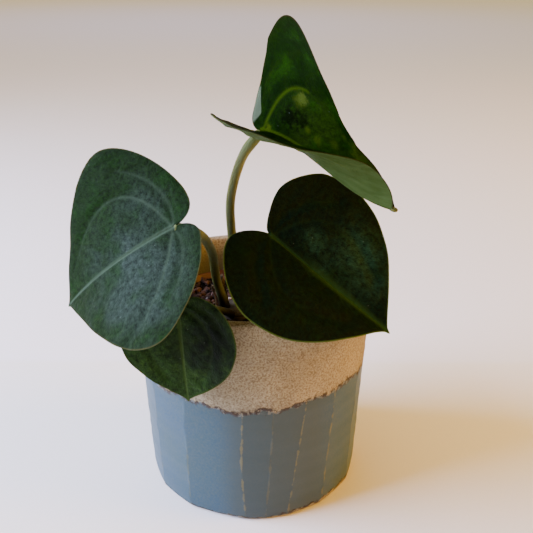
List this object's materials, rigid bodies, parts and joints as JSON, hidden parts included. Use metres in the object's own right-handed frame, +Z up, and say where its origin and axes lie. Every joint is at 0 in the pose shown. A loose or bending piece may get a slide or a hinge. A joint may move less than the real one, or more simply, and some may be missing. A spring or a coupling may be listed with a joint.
{
  "type": "potted anthurium clarinervium",
  "caption": "Small potted foliage plant with broad heart-shaped leaves on slender stalks, in a nursery pot inside a faceted stoneware cover pot.",
  "frame": {"origin": "middle of the cover pot's underside, on the surface it stands on", "axes": "+Z up, -Y towards the viewer, +X to the viewer's right"},
  "size_m": [0.1322, 0.1266, 0.2065],
  "materials": {
    "stoneware": "matte blue-grey glaze below, bare speckled buff clay above",
    "nursery_plastic": "satin",
    "potting_mix": "loose, rough",
    "leaf_stalk": "smooth, satin",
    "leaf_blade": "velvety satin",
    "scale_leaf": "dry, papery"
  },
  "bodies": {
    "root": {"cover_pot": "stoneware", "nursery_pot": "nursery_plastic", "potting_mix": "potting_mix", "crown": "leaf_stalk", "left_leaf_stalk": "leaf_stalk", "left_leaf_blade": "leaf_blade", "front_leaf_stalk": "leaf_stalk", "front_leaf_blade": "leaf_blade", "right_leaf_stalk": "leaf_stalk", "right_leaf_blade": "leaf_blade", "top_leaf_stalk": "leaf_stalk", "top_leaf_blade": "leaf_blade", "scale_leaf_left": "scale_leaf", "scale_leaf_right": "scale_leaf"}
  },
  "joints": []
}
